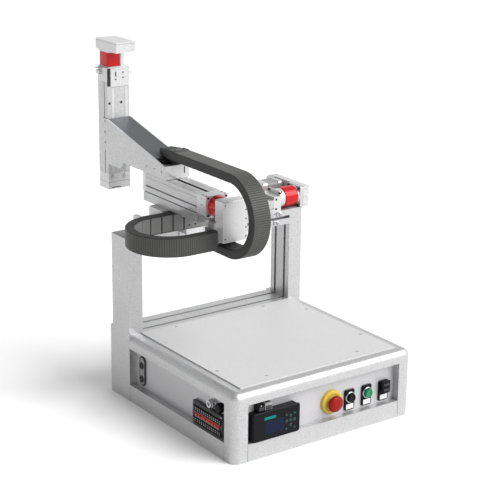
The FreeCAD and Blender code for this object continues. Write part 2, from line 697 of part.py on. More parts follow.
for maker in (cabinet_corners, cabinet_rails, deck_profile, table_plate, table_screws, front_panel,
              shell_panels, controller, posts, cross_beam):
    node(maker.__name__, maker())
for module in MODULES:
    for maker in (profile, end_blocks, carriage, spindle, coupling_housing, drive_housing, motor,
                  motor_pulley, belt):
        module_node(module, maker.__name__, maker(module))
for maker in (y_support_rail, tool_plate, gusset_plates, gusset_cover, gusset_floor, x_chain_bracket,
              y_chain_bracket, y_chain_stand, screen_unit, stop_collar, stop_button, button_holders,
              side_terminals, inlet_plate):
    node(maker.__name__, maker())
x_chain()
y_chain()
for number, name in enumerate(("black_button", "green_button", "tall_button")):
    node(name, push_button(number))

document.recompute()
for item in document.Objects:
    if {"Invalid", "Error"} & set(item.State):
        raise RuntimeError(f"{item.Label}: {item.State}")
for thing in NODES:
    if thing.Shape.isNull() or not thing.Shape.isValid() or not thing.Shape.Solids:
        raise RuntimeError(thing.Label + " has no sound shape")
os.makedirs("parts", exist_ok=True)
for thing in NODES:
    thing.Shape.exportStep(os.path.join("parts", thing.Label + ".step"))
print(len(NODES), "nodes")
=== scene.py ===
"""Looks for the desktop Cartesian robot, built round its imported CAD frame.

Sizes and places in this script are in millimetres from the cabinet's front left bottom corner:
x to the right, y to the back and z up. at() turns them into the frame's metres.
"""

import bmesh
import bpy
import math
from itertools import product
from mathutils import Matrix, Vector


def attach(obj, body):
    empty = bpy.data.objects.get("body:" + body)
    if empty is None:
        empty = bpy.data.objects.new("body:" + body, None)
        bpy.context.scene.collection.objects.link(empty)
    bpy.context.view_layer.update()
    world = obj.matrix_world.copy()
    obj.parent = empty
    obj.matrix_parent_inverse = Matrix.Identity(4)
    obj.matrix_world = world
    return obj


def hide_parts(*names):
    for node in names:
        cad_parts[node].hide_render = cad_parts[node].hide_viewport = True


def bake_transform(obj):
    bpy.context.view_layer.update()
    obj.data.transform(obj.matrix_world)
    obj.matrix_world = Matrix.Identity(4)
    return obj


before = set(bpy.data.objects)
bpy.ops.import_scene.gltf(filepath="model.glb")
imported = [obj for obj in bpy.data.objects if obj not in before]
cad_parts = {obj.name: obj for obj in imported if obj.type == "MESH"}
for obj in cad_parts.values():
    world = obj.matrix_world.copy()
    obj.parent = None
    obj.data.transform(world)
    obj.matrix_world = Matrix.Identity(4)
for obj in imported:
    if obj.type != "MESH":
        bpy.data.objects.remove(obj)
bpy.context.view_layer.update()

MM = 0.001
X, Y, Z = Vector((1, 0, 0)), Vector((0, 1, 0)), Vector((0, 0, 1))
SHARP_ANGLE = math.radians(32)
WELD_DISTANCE = 1e-5

# Faces and axes that several pieces share. A pair of sides gives each face and the way it looks.
CABINET_WIDTH, CABINET_DEPTH = 540, 560
PANEL_FACE = 20
RIGHT_PANEL_FACE = CABINET_WIDTH - PANEL_FACE
X_COUPLING_START = Vector((465, 484.5, 459.5))
Y_COUPLING_START = Vector((145.5, 285, 538.6))
Y_MODULE_SIDES = ((113, -X), (178, X))
Y_BLOCK_TOP = 565
GUSSET_SIDES = ((109.5, -X), (181.5, X))
Z_MODULE_FRONT = 741


def at(x, y, z):
    return Vector(((x - CABINET_WIDTH / 2) * MM, (y - CABINET_DEPTH / 2) * MM, z * MM))


# Camera, light and floor

VIEW_AZIMUTH, VIEW_ELEVATION, VIEW_ROLL = 35.99, 17.71, 0.753
VIEW_TARGET = (285.1, 325.6, 394.8)
VIEW_DISTANCE = 3835.1
LENS, SENSOR_WIDTH = 109.9, 36
SHIFT = (-0.0068, -0.003)
FAR_LIMIT = 100
KEY_FROM, KEY_POWER, KEY_ANGLE = (1.7, -2.6, 2.7), 3.7, 50
LEFTWARD = (-0.9, -0.1, 0.42)
LEFT_FADE = ((0.1, 0.95), (1.05, 0.6))
CEILING_FADE = ((0.32, 0.7), (1, 0.5))
FLOOR_HALF = 30


def make_camera():
    azimuth, elevation, roll = (math.radians(a) for a in (VIEW_AZIMUTH, VIEW_ELEVATION, VIEW_ROLL))
    back = Vector((-math.sin(azimuth) * math.cos(elevation), -math.cos(azimuth) * math.cos(elevation),
                   math.sin(elevation)))
    level = Vector((math.cos(azimuth), -math.sin(azimuth), 0))
    upright = back.cross(level)
    right = level * math.cos(roll) + upright * math.sin(roll)
    up = upright * math.cos(roll) - level * math.sin(roll)
    data = bpy.data.cameras.new("camera")
    data.lens, data.sensor_width = LENS, SENSOR_WIDTH
    data.shift_x, data.shift_y = SHIFT
    data.clip_end = FAR_LIMIT
    camera = bpy.data.objects.new("camera", data)
    turn = Matrix((right, up, back)).transposed().to_4x4()
    camera.matrix_world = Matrix.Translation(at(*VIEW_TARGET) + back * VIEW_DISTANCE * MM) @ turn
    bpy.context.collection.objects.link(camera)
    bpy.context.scene.camera = camera


def map_range(nodes, source, target):
    """A node that takes the range source to the range target."""
    node = nodes.new("ShaderNodeMapRange")
    for side, limits in (("From", source), ("To", target)):
        for end, limit in zip(("Min", "Max"), limits):
            node.inputs[f"{side} {end}"].default_value = limit
    return node


def make_world():
    """White surroundings that grow darker overhead and on the left."""
    world = bpy.data.worlds.new("studio")
    bpy.context.scene.world = world
    world.use_nodes = True
    nodes, link = world.node_tree.nodes, world.node_tree.links.new
    background = nodes["Background"]
    background.inputs["Color"].default_value = (1, 1, 1, 1)
    direction = nodes.new("ShaderNodeTexCoord")
    leftness = nodes.new("ShaderNodeVectorMath")
    leftness.operation = "DOT_PRODUCT"
    leftness.inputs[1].default_value = LEFTWARD
    height = nodes.new("ShaderNodeSeparateXYZ")
    fade, ceiling = map_range(nodes, *LEFT_FADE), map_range(nodes, *CEILING_FADE)
    both = nodes.new("ShaderNodeMath")
    both.operation = "MULTIPLY"
    link(direction.outputs["Generated"], leftness.inputs[0])
    link(direction.outputs["Generated"], height.inputs[0])
    link(leftness.outputs["Value"], fade.inputs["Value"])
    link(height.outputs["Z"], ceiling.inputs["Value"])
    link(fade.outputs["Result"], both.inputs[0])
    link(ceiling.outputs["Result"], both.inputs[1])
    link(both.outputs["Value"], background.inputs["Strength"])


def make_key_light():
    """A wide sun on the camera's right."""
    data = bpy.data.lights.new("key", "SUN")
    data.energy, data.angle = KEY_POWER, math.radians(KEY_ANGLE)
    key = bpy.data.objects.new("key", data)
    key.rotation_euler = Vector(KEY_FROM).to_track_quat("Z", "Y").to_euler()
    bpy.context.collection.objects.link(key)


def make_floor():
    """A square floor; its half width is in metres."""
    half = FLOOR_HALF
    data = bpy.data.meshes.new("floor")
    data.from_pydata([(-half, -half, 0), (half, -half, 0), (half, half, 0), (-half, half, 0)], [],
                     [(0, 1, 2, 3)])
    floor = bpy.data.objects.new("floor", data)
    bpy.context.collection.objects.link(floor)
    data.materials.append(surface("studio_floor", (0.95, 0.95, 0.95), roughness=0.7, variation=0.005,
                                  shine=0.1))


def make_studio():
    bpy.context.scene.view_settings.view_transform = "Standard"
    make_world()
    make_key_light()
    make_floor()


# Materials

FINE_DETAIL = 3
SMUDGE_SCALE, SMUDGE_DETAIL, SMUDGE_RANGE = 14, 4, (0.3, 0.7)
SMOOTHEST = 0.02
RELIEF_DEPTH = 0.0004
# The Mix node's sockets for colours have the same names as those for numbers, so they go by place.
MIX_DARK, MIX_LIGHT, MIX_RESULT = 6, 7, 2


def noise(nodes, scale, detail):
    node = nodes.new("ShaderNodeTexNoise")
    node.inputs["Scale"].default_value, node.inputs["Detail"].default_value = scale, detail
    return node


def surface(name, colour, metallic=0.0, roughness=0.5, grain=900, variation=0.06, bump=0.0,
            stretch=(1, 1, 1), coat=0.0, smudge=0.06, shine=0.5):
    """A finish whose colour, roughness and relief vary with fine grain and with broad smudges."""
    material = bpy.data.materials.new(name)
    material.use_nodes = True
    nodes, link = material.node_tree.nodes, material.node_tree.links.new
    shader = nodes["Principled BSDF"]
    shader.inputs["Metallic"].default_value = metallic
    shader.inputs["Coat Weight"].default_value = coat
    shader.inputs["Specular IOR Level"].default_value = shine
    place = nodes.new("ShaderNodeTexCoord")
    mapping = nodes.new("ShaderNodeMapping")
    mapping.inputs["Scale"].default_value = stretch
    link(place.outputs["Object"], mapping.inputs["Vector"])
    fine, smudges = noise(nodes, grain, FINE_DETAIL), noise(nodes, SMUDGE_SCALE, SMUDGE_DETAIL)
    link(mapping.outputs["Vector"], fine.inputs["Vector"])
    link(place.outputs["Object"], smudges.inputs["Vector"])
    blend = nodes.new("ShaderNodeMix")
    blend.data_type = "RGBA"
    dark, light = [c * (1 - variation) for c in colour], [min(1, c * (1 + variation)) for c in colour]
    blend.inputs[MIX_DARK].default_value = (*dark, 1)
    blend.inputs[MIX_LIGHT].default_value = (*light, 1)
    link(fine.outputs["Fac"], blend.inputs["Factor"])
    link(blend.outputs[MIX_RESULT], shader.inputs["Base Color"])
    spread = map_range(nodes, SMUDGE_RANGE,
                       (max(SMOOTHEST, roughness - smudge), min(1, roughness + smudge)))
    link(smudges.outputs["Fac"], spread.inputs["Value"])
    link(spread.outputs["Result"], shader.inputs["Roughness"])
    if bump:
        relief = nodes.new("ShaderNodeBump")
        relief.inputs["Strength"].default_value = bump
        relief.inputs["Distance"].default_value = RELIEF_DEPTH
        link(fine.outputs["Fac"], relief.inputs["Height"])
        link(relief.outputs["Normal"], shader.inputs["Normal"])
    return material


# The numbers after each colour are metallic, roughness, grain, variation and bump.
FINISH = {
    "profile": surface("anodised_profile", (0.47, 0.47, 0.475), 0.6, 0.33, 340, 0.4, 0.12),
    "along_y": surface("extruded_profile", (0.44, 0.44, 0.445), 0.6, 0.32, 420, 0.4, 0.12, (1, 0.06, 1)),
    "machined": surface("machined_aluminium", (0.55, 0.55, 0.555), 0.5, 0.33, 380, 0.3, 0.1),
    "panel": surface("panel_sheet", (0.46, 0.455, 0.465), 0.3, 0.45, 420, 0.2, 0.05),
    "table": surface("table_coating", (0.54, 0.54, 0.545), 0.0, 0.55, 420, 0.14, 0.08, shine=0.3),
    "cover": surface("dark_sheet", (0.075, 0.08, 0.086), 0.3, 0.42, 420, 0.2, 0.06),
    "red": surface("red_anodised", (0.47, 0.003, 0.005), 0.2, 0.26, 500, 0.1, 0.04, shine=0.35),
    "steel": surface("ground_steel", (0.5, 0.5, 0.51), 0.9, 0.27, 900, 0.1, 0.05),
    "black_steel": surface("blackened_steel", (0.02, 0.02, 0.022), 0.4, 0.42, 900, 0.15, 0.05, shine=0.3),
    "chain": surface("chain_plastic", (0.062, 0.062, 0.06), 0.0, 0.5, 420, 0.35, 0.2, shine=0.3),
    "chain_edge": surface("chain_edge_plastic", (0.024, 0.024, 0.024), 0.0, 0.56, 420, 0.3, 0.15, shine=0.3),
    "chain_inner": surface("chain_inner_plastic", (0.15, 0.15, 0.148), 0.0, 0.5, 420, 0.15, 0.1, shine=0.3),
    "black": surface("black_moulding", (0.004, 0.004, 0.005), 0.0, 0.45, 900, 0.25, 0.08, shine=0.12),
    "glass": surface("screen_glass", (0.006, 0.009, 0.03), 0.0, 0.2, 300, 0.1, shine=0.1, smudge=0.03),
    "teal": surface("teal_print", (0.0, 0.16, 0.15), 0.0, 0.45, 900, 0.1, shine=0.1),
    "grey": surface("grey_moulding", (0.24, 0.24, 0.245), 0.0, 0.45, 420, 0.12, 0.1, shine=0.3),
    "dark_grey": surface("dark_grey_moulding", (0.03, 0.03, 0.032), 0.0, 0.5, 900, 0.2, 0.1, shine=0.3),
    "yellow": surface("yellow_moulding", (0.52, 0.37, 0.05), 0.0, 0.42, 900, 0.06, 0.06, shine=0.3),
    "mushroom": surface("red_moulding", (0.24, 0.006, 0.004), 0.0, 0.42, 900, 0.08, 0.05, shine=0.15),
    "strip": surface("red_strip", (0.5, 0.05, 0.03), 0.0, 0.45, 900, 0.12, 0.05, shine=0.3),
    "green": surface("green_cap", (0.0, 0.16, 0.075), 0.0, 0.3, 900, 0.08, 0.03, coat=0.15, shine=0.3),
    "label": surface("label_plate", (0.62, 0.62, 0.615), 0.0, 0.5, 900, 0.05, 0.03),
    "rubber": surface("belt_rubber", (0.015, 0.015, 0.015), 0.0, 0.7, 900, 0.2, 0.2),
    # seam_shade is a dark finish for thin strips of painted shade in joints, grooves and gaps.
    "seam_shade": surface("seam_shadow", (0.09, 0.09, 0.09), 0.1, 0.7, 900, 0.1, 0.05),
}


# Mesh tools. Each adds to a bmesh in millimetres and gives the new faces a material index.

def painted(made, index):
    faces = {face for vert in made for face in vert.link_faces}
    for face in faces:
        face.material_index = index


def box(mesh, low, high, radius=0.0, index=0, turn=None, segments=2):
    """A box between two corners, rounded on all edges; turn is a matrix applied to it."""
    low, high = Vector(low), Vector(high)
    size, middle = high - low, (low + high) / 2
    made = bmesh.ops.create_cube(mesh, size=1)["verts"]
    for vert in made:
        vert.co = Vector(vert.co[i] * size[i] for i in range(3)) + middle
    if radius:
        edges = list({edge for vert in made for edge in vert.link_edges})
        done = bmesh.ops.bevel(mesh, geom=made + edges, offset=radius, segments=segments, profile=0.5,
                               affect="EDGES", clamp_overlap=True)
        made = list(set(done["verts"]) | {vert for vert in made if vert.is_valid})
    if turn:
        for vert in made:
            vert.co = turn @ vert.co
    painted(made, index)


def skin(mesh, loops):
    """Quads between each closed loop of vertices and the next."""
    for first, second in zip(loops, loops[1:]):
        for one in range(len(first)):
            two = (one + 1) % len(first)
            mesh.faces.new((first[one], first[two], second[two], second[one]))


def plate(mesh, low, high, axis, corner, edge=0.6, index=0, steps=6):
    """A plate across an axis (0, 1 or 2), with rounded corners and chamfered rims."""
    low, high = Vector(low), Vector(high)
    across = [i for i in range(3) if i != axis]

    def loop(inset, depth):
        verts = []
        for number, signs in enumerate(((1, 1), (-1, 1), (-1, -1), (1, -1))):
            for step in range(steps + 1):
                angle = math.pi / 2 * (number + step / steps)
                point = Vector((depth, depth, depth))
                for i, sign, wave in zip(across, signs, (math.cos(angle), math.sin(angle))):
                    middle, half = (low[i] + high[i]) / 2, (high[i] - low[i]) / 2
                    point[i] = middle + sign * (half - corner) + (corner - inset) * wave
                verts.append(mesh.verts.new(point))
        return verts

    loops = [loop(edge, low[axis]), loop(0, low[axis] + edge),
             loop(0, high[axis] - edge), loop(edge, high[axis])]
    skin(mesh, loops)
    mesh.faces.new(loops[0])
    mesh.faces.new(loops[-1])
    painted([vert for verts in loops for vert in verts], index)


def lathe(mesh, foot, axis, profile, index=0, steps=32, hexagonal=()):
    """A turned body: profile holds (radius, height) from the axis round to the axis again.

    The numbers in hexagonal are the profile points whose ring is a hexagon, as in a key socket."""
    axis = Vector(axis).normalized()
    side = axis.orthogonal().normalized()
    other = axis.cross(side)
    rings, made = [], []
    for number, (radius, height) in enumerate(profile):
        centre = Vector(foot) + axis * height
        if radius == 0:
            rings.append([mesh.verts.new(centre)])
            made += rings[-1]
            continue
        ring = []
        for step in range(steps):
            angle = 2 * math.pi * step / steps
            reach = radius
            if number in hexagonal:
                reach *= math.cos(math.pi / 6) / math.cos(angle % (math.pi / 3) - math.pi / 6)
            ring.append(mesh.verts.new(centre + (side * math.cos(angle) + other * math.sin(angle)) * reach))
        rings.append(ring)
        made += ring
    for first, second in zip(rings, rings[1:]):
        for step in range(steps):
            after = (step + 1) % steps
            if len(first) == 1 and len(second) == 1:
                continue
            if len(first) == 1:
                mesh.faces.new((first[0], second[step], second[after]))
            elif len(second) == 1:
                mesh.faces.new((first[after], first[step], second[0]))
            else:
                mesh.faces.new((first[after], first[step], second[step], second[after]))
    painted(made, index)


def ring_profile(inner, outer, low, high, edge):
    """A closed ring section with small chamfers; it is turned as a loop."""
    points = [(inner, low + edge), (inner + edge, low), (outer - edge, low), (outer, low + edge),
              (outer, high - edge), (outer - edge, high), (inner + edge, high), (inner, high - edge)]
    return points + points[:1]


def disc_profile(radius, low, high, edge):
    return [(0, low), (radius - edge, low), (radius, low + edge), (radius, high - edge),
            (radius - edge, high), (0, high)]


def ring(mesh, foot, axis, inner, outer, low, high, edge=0.6, index=0, steps=40):
    lathe(mesh, foot, axis, ring_profile(inner, outer, low, high, edge), index, steps)


def disc(mesh, foot, axis, radius, low, high, edge=0.6, index=0, steps=32):
    lathe(mesh, foot, axis, disc_profile(radius, low, high, edge), index, steps)


def cap_screw(mesh, foot, axis, radius, height, index=0):
    """A cap screw's head with a hexagonal key socket."""
    shoulder, rim = height * 0.8, radius * 0.86
    socket, socket_floor = radius * 0.52, height * 0.35
    profile = [(0, 0), (radius, 0), (radius, shoulder), (rim, height), (socket, height),
               (socket, socket_floor), (0, socket_floor)]
    lathe(mesh, foot, axis, profile, index, 24, hexagonal=(4, 5))


def grid(x, y, z):
    """Every place that the values of x, y and z give, each a number or a tuple of numbers."""
    return product(*(value if isinstance(value, tuple) else (value,) for value in (x, y, z)))


def screws(mesh, places, axis, radius, height, index=0):
    for place in places:
        cap_screw(mesh, place, axis, radius, height, index)


def finish_piece(name, body, mesh, finishes, replaces=()):
    """Turn a bmesh in millimetres into a named piece that rides on a body."""
    bmesh.ops.remove_doubles(mesh, verts=mesh.verts, dist=WELD_DISTANCE)
    bmesh.ops.recalc_face_normals(mesh, faces=mesh.faces)
    for vert in mesh.verts:
        vert.co = at(*vert.co)
    for face in mesh.faces:
        face.smooth = True
    for edge in mesh.edges:
        edge.smooth = edge.calc_face_angle(0) < SHARP_ANGLE
    data = bpy.data.meshes.new(name)
    mesh.to_mesh(data)
    mesh.free()
    piece = bpy.data.objects.new(name, data)
    bpy.context.collection.objects.link(piece)
    for finish in finishes:
        data.materials.append(FINISH[finish])
    if body:
        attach(piece, body)
    if replaces:
        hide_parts(*replaces)
    return piece


# Finishes of the CAD pieces

CAD_FINISH = {
    "cabinet_corners": "profile", "cabinet_rails": "profile", "deck_profile": "profile", "posts": "profile",
    "cross_beam": "profile", "table_plate": "table", "front_panel": "panel", "shell_panels": "panel",
    "controller": "dark_grey", "table_screws": "steel", "gusset_plates": "profile", "gusset_cover": "cover",
    "gusset_floor": "machined", "y_support_rail": "along_y", "x_chain_bracket": "machined",
    "y_chain_bracket": "cover", "y_chain_stand": "black", "tool_plate": "machined",
}
MODULE_FINISH = {
    "profile": "profile", "end_blocks": "machined", "carriage": "machined", "spindle": "steel",
    "coupling_housing": "red", "drive_housing": "machined", "motor": "grey", "motor_pulley": "steel",
    "belt": "rubber",
}
MODULES = ("x", "y", "z")


def paint_frame():
    chosen = dict(CAD_FINISH)
    for module in MODULES:
        chosen.update({f"{module}_{part}": finish for part, finish in MODULE_FINISH.items()})
    chosen["y_profile"] = "along_y"
    for name, finish in chosen.items():
        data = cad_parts[name].data
        data.materials.clear()
        data.materials.append(FINISH[finish])


# Energy chains

CHAIN_OUTER, CHAIN_HEIGHT = 105, 24
CHAIN_MIDDLE = CHAIN_OUTER - CHAIN_HEIGHT / 2
RIB_PITCH, RIB_HEIGHT, RIB_SHARE = 5.1, 3.0, 0.88
PANEL_PITCH, PANEL_HEIGHT, PANEL_GAP = 30.4, 1.6, 4
CORE_EDGE, CORE_DROP = 1.2, 0.6
CHAIN_FINISH = ["chain_edge", "chain", "chain_inner"]


def chain_stretch(mesh, path, length, width, inner):
    """Core, outer ribs and inner panels along a path, the panels in the finish with index inner.

    path(s) gives the middle of the chain, its direction and its outward normal."""
    def local(s):
        middle, along, out = path(s)
        return Matrix.Translation(middle) @ Matrix((along, out.cross(along), out)).transposed().to_4x4()

    half, side, edge = CHAIN_HEIGHT / 2, width / 2, CORE_EDGE
    low, high = -half + PANEL_HEIGHT, half - CORE_DROP
    section = [(-side, low + edge), (-side + edge, low), (side - edge, low), (side, low + edge),
               (side, high - edge), (side - edge, high), (-side + edge, high), (-side, high - edge)]
    count = max(2, round(length / RIB_PITCH))
    rings = []
    for step in range(count + 1):
        place = local(length * step / count)
        rings.append([mesh.verts.new(place @ Vector((0, across, up))) for across, up in section])
    skin(mesh, rings)
    mesh.faces.new(rings[0])
    mesh.faces.new(rings[-1][::-1])
    painted([vert for loop in rings for vert in loop], 0)
    pitch = length / count
    reach = pitch * RIB_SHARE / 2
    for step in range(count):
        box(mesh, (-reach, -side + 2, half - RIB_HEIGHT), (reach, side - 2, half), 0.45, 1,
            local(pitch * (step + 0.5)), 1)
    panels = max(1, round(length / PANEL_PITCH))
    pitch = length / panels
    reach = (pitch - PANEL_GAP) / 2
    for step in range(panels):
        box(mesh, (-reach, -side + 3, -half), (reach, side - 3, low + 1), 0.5, inner,
            local(pitch * (step + 0.5)), 1)


def straight(start, end, out):
    start, end = Vector(start), Vector(end)
    along = (end - start).normalized()
    return lambda s: (start + along * s, along, out)


def bend(centre, first, over):
    """A half turn about centre, from the direction first by way of over."""
    def path(s):
        angle = s / CHAIN_MIDDLE
        out = first * math.cos(angle) + over * math.sin(angle)
        return centre + out * CHAIN_MIDDLE, over * math.cos(angle) - first * math.sin(angle), out
    return path


def make_chain(name, loop_body, centre, width, first, over, anchor, tow, inner):
    """A chain whose fixed run lies at centre + first and ends at anchor, and whose other run ends at tow.

    The runs ride on no body; the loop rides on loop_body, and its end goes half the way."""
    centre = Vector(centre)
    starts = {"fixed": centre + first * CHAIN_MIDDLE, "moving": centre - first * CHAIN_MIDDLE}
    ends = {"fixed": starts["fixed"] - over * anchor, "moving": starts["moving"] - over * tow}
    for run, out in (("fixed", first), ("moving", -first)):
        mesh = bmesh.new()
        start, end = starts[run], ends[run]
        chain_stretch(mesh, straight(end, start, out), (end - start).length, width, inner)
        piece = finish_piece(f"{name}_chain_{run}_links", None, mesh, CHAIN_FINISH)
        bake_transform(piece)
        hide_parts(f"{name}_chain_{run}_run")
    mesh = bmesh.new()
    chain_stretch(mesh, bend(centre, first, over), math.pi * CHAIN_MIDDLE, width, inner)
    finish_piece(f"{name}_chain_loop_links", loop_body, mesh, CHAIN_FINISH,
                 (f"{name}_chain_bend",))


def make_chain_ends():
    """End connectors with their screws, at both ends of the x chain and the moving end of the y chain."""
    finishes = ["chain_inner", "black_steel"]
    mesh = bmesh.new()
    box(mesh, (144, 424.6, 444), (207, 426.6, 487), 0.6, 0)
    for x, z in ((158, 476), (158, 453), (176, 453), (196, 470)):
        cap_screw(mesh, (x, 424.6, z), -Y, 2.2, 1.4, 1)
    finish_piece("x_chain_fixed_connector", "cabinet", mesh, finishes)
    mesh = bmesh.new()
    box(mesh, (96, 263.4, 444), (116.6, 265.6, 487), 0.6, 0)
    screws(mesh, grid(106, 265.6, (452, 479)), Y, 2.2, 1.4, 1)
    finish_piece("x_chain_moving_connector", "x_slider", mesh, finishes)
    mesh = bmesh.new()
    box(mesh, (131, 452, 637.6), (175, 474, 640), 0.6, 0)
    screws(mesh, grid((140, 166), 463, 640), Z, 2.2, 1.4, 1)
    finish_piece("y_chain_moving_connector", "y_slider", mesh, ["chain", "black_steel"])


def make_chain_boot():
    """A grooved boot behind the y chain, narrower and flatter towards the gusset's cover."""
    middle_x, middle_z = 153, 627
    narrowing, flattening = 0.2, 0.45
    first_groove, groove_pitch, groove_taper = 474, 9, 0.9
    mesh = bmesh.new()
    low, high = Vector((129.5, 470, 611)), Vector((176.5, 527, 638.8))
    plate(mesh, low, high, 1, 6, 4)
    for vert in mesh.verts:
        reach = (vert.co.y - low.y) / (high.y - low.y)
        vert.co.x += (middle_x - vert.co.x) * narrowing * reach
        vert.co.z += (middle_z - vert.co.z) * flattening * reach ** 2
    for groove in range(4):
        y, taper = first_groove + groove_pitch * groove, groove * groove_taper
        plate(mesh, (130.6 + taper, y, 613 + taper), (175.4 - taper, y + 3.4, 639.4 - taper), 1, 5, 0.8)
    finish_piece("y_chain_boot", "y_slider", mesh, ["chain_edge"])


# Linear modules

SLEEVE_STEPS = 64


def corners(reach):
    """The four corners of a square about 0."""
    return product((-reach, reach), repeat=2)


def make_x_coupling():
    """The adapter, the red sleeve and the drive's flange, from left to right."""
    start = X_COUPLING_START
    finishes = ["machined", "black_steel"]
    mesh = bmesh.new()
    plate(mesh, (465, 459, 434), (470, 510, 485), 0, 5, 0.8)
    ring(mesh, start, X, 20, 25.5, 4, 21, 0.9)
    for y, z in corners(20):
        cap_screw(mesh, start + Vector((5, y, z)), X, 3.4, 5, 1)
        cap_screw(mesh, start + Vector((-1, y * 1.18, z * 1.05)), -Y, 2.6, 6, 1)
    finish_piece("x_coupling_adapter", "cabinet", mesh, finishes,
                 ("x_coupling_housing",))
    mesh = bmesh.new()
    ring(mesh, start, X, 20, 27.5, 21, 62, 1.2, steps=SLEEVE_STEPS)
    finish_piece("x_coupling_sleeve", "cabinet", mesh, ["red"])
    mesh = bmesh.new()
    ring(mesh, start, X, 20, 26.5, 61.5, 68, 0.8)
    plate(mesh, (532, 456.5, 431.8), (540, 512.5, 487.5), 0, 4, 0.8)
    for y, z in corners(23):
        cap_screw(mesh, start + Vector((67, y, z)), -X, 3.6, 4, 1)
    finish_piece("x_coupling_flange", "cabinet", mesh, finishes)


def make_y_coupling():
    """The red sleeve and the drive's flange, which lies to the front."""
    start = Y_COUPLING_START
    mesh = bmesh.new()
    ring(mesh, start, -Y, 20, 27.5, 0, 32, 1.2, steps=SLEEVE_STEPS)
    finish_piece("y_coupling_sleeve", "x_slider", mesh, ["red"], ("y_coupling_housing",))
    mesh = bmesh.new()
    plate(mesh, (117.5, 249, 510.6), (173.5, 253, 566.6), 1, 4, 0.8)
    for x, z in corners(23):
        cap_screw(mesh, start + Vector((x, -32, z)), Y, 3.2, 3, 1)
        cap_screw(mesh, start + Vector((x * 1.12, 0, z * 0.95)), -Y, 2.6, 2.5, 1)
    finish_piece("y_coupling_flange", "x_slider", mesh, ["machined", "black_steel"])


def make_z_coupling():
    """A red block between two plates, with an upright beside it."""
    mesh = bmesh.new()
    plate(mesh, (119, 748, 803), (157, 791, 842), 2, 4, 0.8)
    finish_piece("z_coupling_sleeve", "y_slider", mesh, ["red"], ("z_coupling_housing",))
    mesh = bmesh.new()
    plate(mesh, (117.5, 742, 801.8), (173.5, 793, 804), 2, 3, 0.5)
    plate(mesh, (117.5, 742, 841), (173.5, 793, 847), 2, 3, 0.8)
    plate(mesh, (158, 750, 803.6), (171, 789, 841.4), 2, 3, 0.6)
    finish_piece("z_coupling_frame", "y_slider", mesh, ["machined"])


def make_drives():
    """The y drive's case with a lid and a painted shadow joint; a painted shadow line in the z drive's
    joint; screws on all three drives.
    """
    lid_screws = 217.2
    mesh = bmesh.new()
    plate(mesh, (118, 218.4, 464), (188, 249, 566), 1, 2.5, 0.5)
    plate(mesh, (118.6, 217, 464.6), (187.4, 218, 565.4), 1, 2.5, 0.3)
    plate(mesh, (119.5, 217.6, 465.5), (186.5, 219, 564.5), 1, 2.5, 0.1, 2)
    screws(mesh, grid(183, lid_screws, (474, 496, 518, 540, 558)), -Y, 1.9, 0.9, 1)
    screws(mesh, grid(123, lid_screws, (474, 558)), -Y, 1.9, 0.9, 1)
    finish_piece("y_drive_case", "x_slider", mesh, ["machined", "black_steel", "seam_shade"],
                 ("y_drive_housing",))
    mesh = bmesh.new()
    # A thin dark plate of painted shadow in the z drive's joint.
    plate(mesh, (112.85, 694.85, 869.4), (171.15, 798.15, 870), 2, 2, 0.1)
    finish_piece("z_drive_joint_shade", "y_slider", mesh, ["seam_shade"])
    mesh = bmesh.new()
    screws(mesh, grid((122, 162), 695, (853, 867)), -Y, 1.5, 0.7)
    finish_piece("z_drive_screws", "y_slider", mesh, ["steel"])
    mesh = bmesh.new()
    screws(mesh, grid(550, 456, (440, 460, 480)), -Y, 1.7, 0.8)
    finish_piece("x_drive_screws", "cabinet", mesh, ["steel"])


MOTORS = (("x_motor", "cabinet", (474, 543.5, 434), (540, 594, 485), 0),
          ("y_motor", "x_slider", (119.5, 249, 455.5), (171.5, 296, 507.5), 1))
# Start and end as shares of the motor's length, inset from its sides, and finish
MOTOR_SECTIONS = ((0, 0.24, 0, 0), (0.22, 0.78, 1.2, 1), (0.76, 1, 0, 0))


def make_motors():
    """Square motors with round corners, a grey stack between two end caps."""
    for name, body, low, high, axis in MOTORS:
        mesh = bmesh.new()
        low, high = Vector(low), Vector(high)
        length = high[axis] - low[axis]
        for start, end, inset, index in MOTOR_SECTIONS:
            one, two = low + Vector((inset,) * 3), high - Vector((inset,) * 3)
            one[axis], two[axis] = low[axis] + length * start, low[axis] + length * end
            plate(mesh, one, two, axis, 8, 0.6, index)
        finish_piece(f"{name}_stack", body, mesh, ["machined", "grey"], (name,))


def make_gusset_screws():
    mesh = bmesh.new()
    for z in (660, 632, 605):
        for x, way in GUSSET_SIDES:
            cap_screw(mesh, (x, 752, z), way, 3.4, 1.6)
    for y in (478, 512, 548):
        for x, way in GUSSET_SIDES:
            cap_screw(mesh, (x, y, 585), way, 2.6, 1.2)
    finish_piece("gusset_screws", "y_slider", mesh, ["steel"])


